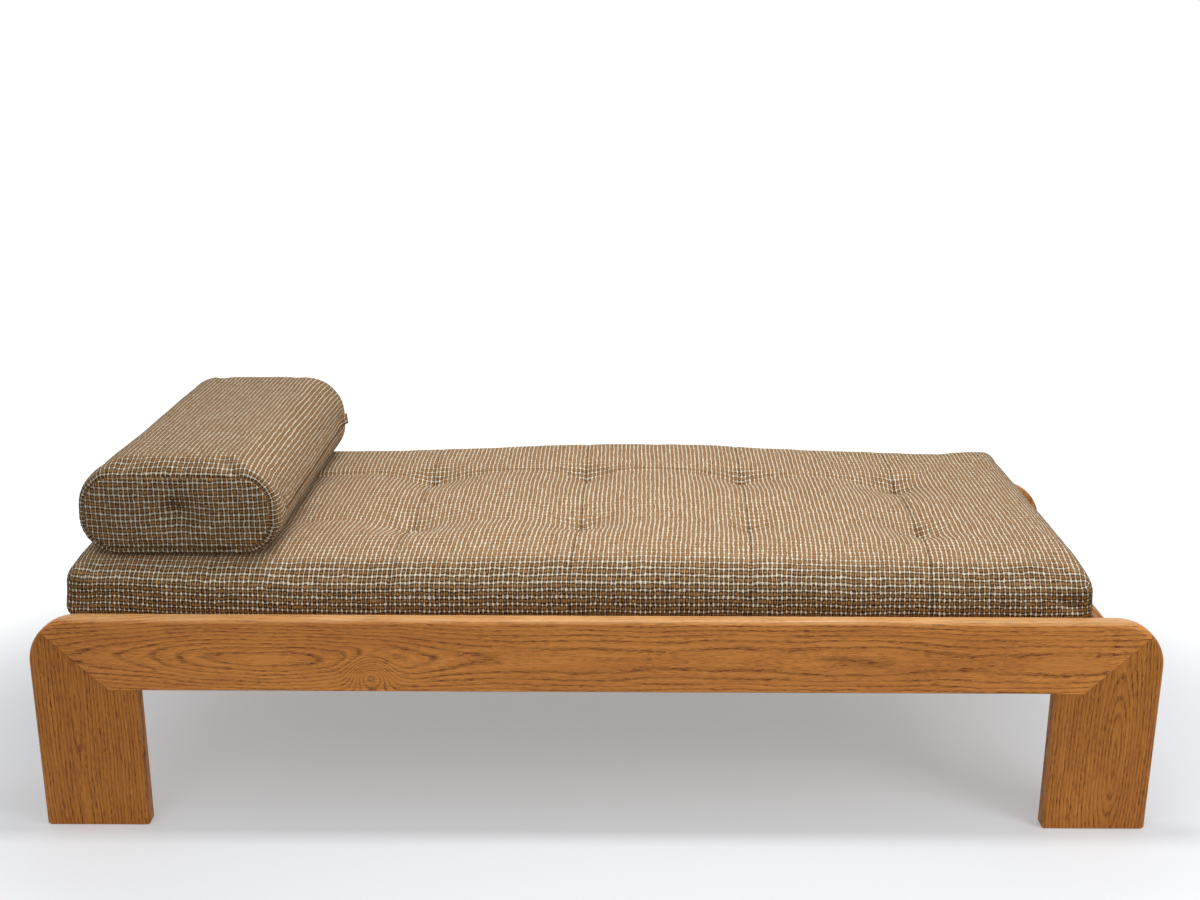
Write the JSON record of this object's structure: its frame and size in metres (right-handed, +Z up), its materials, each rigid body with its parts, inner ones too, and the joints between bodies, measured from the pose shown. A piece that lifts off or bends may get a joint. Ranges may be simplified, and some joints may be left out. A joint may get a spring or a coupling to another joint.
{
  "type": "daybed",
  "caption": "Low oak daybed with mitred, round-cornered end legs, a slatted deck, a tufted tweed mattress and a loose bolster cushion.",
  "frame": {"origin": "on the floor, at the middle of the bed's footprint", "axes": "+X to the right along the bed as seen from the front, +Y to the back, +Z up"},
  "size_m": [2.032, 0.8256, 0.6636],
  "materials": {
    "oak": "satin",
    "beech_joinery": "matte",
    "pine": "matte",
    "screw_steel": "satin",
    "tweed": "matte",
    "foam": "matte",
    "twine": "matte"
  },
  "bodies": {
    "bed_frame": {"cleat_front": "pine", "cleat_rear": "pine", "cleat_screws": "screw_steel", "end_rail_dowels": "beech_joinery", "end_rail_left": "oak", "end_rail_right": "oak", "front_rail": "oak", "glue_block_front_left": "pine", "glue_block_front_right": "pine", "glue_block_rear_left": "pine", "glue_block_rear_right": "pine", "glue_block_screws": "screw_steel", "leg_front_left": "oak", "leg_front_right": "oak", "leg_rear_left": "oak", "leg_rear_right": "oak", "mitre_tongues": "beech_joinery", "rear_rail": "oak", "shoulder_dowels": "beech_joinery", "slat_01": "pine", "slat_02": "pine", "slat_03": "pine", "slat_04": "pine", "slat_05": "pine", "slat_06": "pine", "slat_07": "pine", "slat_08": "pine", "slat_09": "pine", "slat_10": "pine", "slat_11": "pine", "slat_12": "pine", "slat_screws": "screw_steel"},
    "mattress": {"mattress_cover": "tweed", "mattress_core": "foam", "mattress_tuft_twines": "twine"},
    "bolster": {"bolster_cover": "tweed", "bolster_core": "foam", "bolster_tuft_twine": "twine", "bolster_zip_flap": "tweed"}
  },
  "joints": [
    {"name": "mattress_lift", "type": "slide", "parent": "bed_frame", "child": "mattress", "axis": [0, 0, 1], "range_m": [0, 0.2]},
    {"name": "bolster_lift", "type": "slide", "parent": "mattress", "child": "bolster", "axis": [0, 0, 1], "range_m": [0, 0.25]}
  ]
}
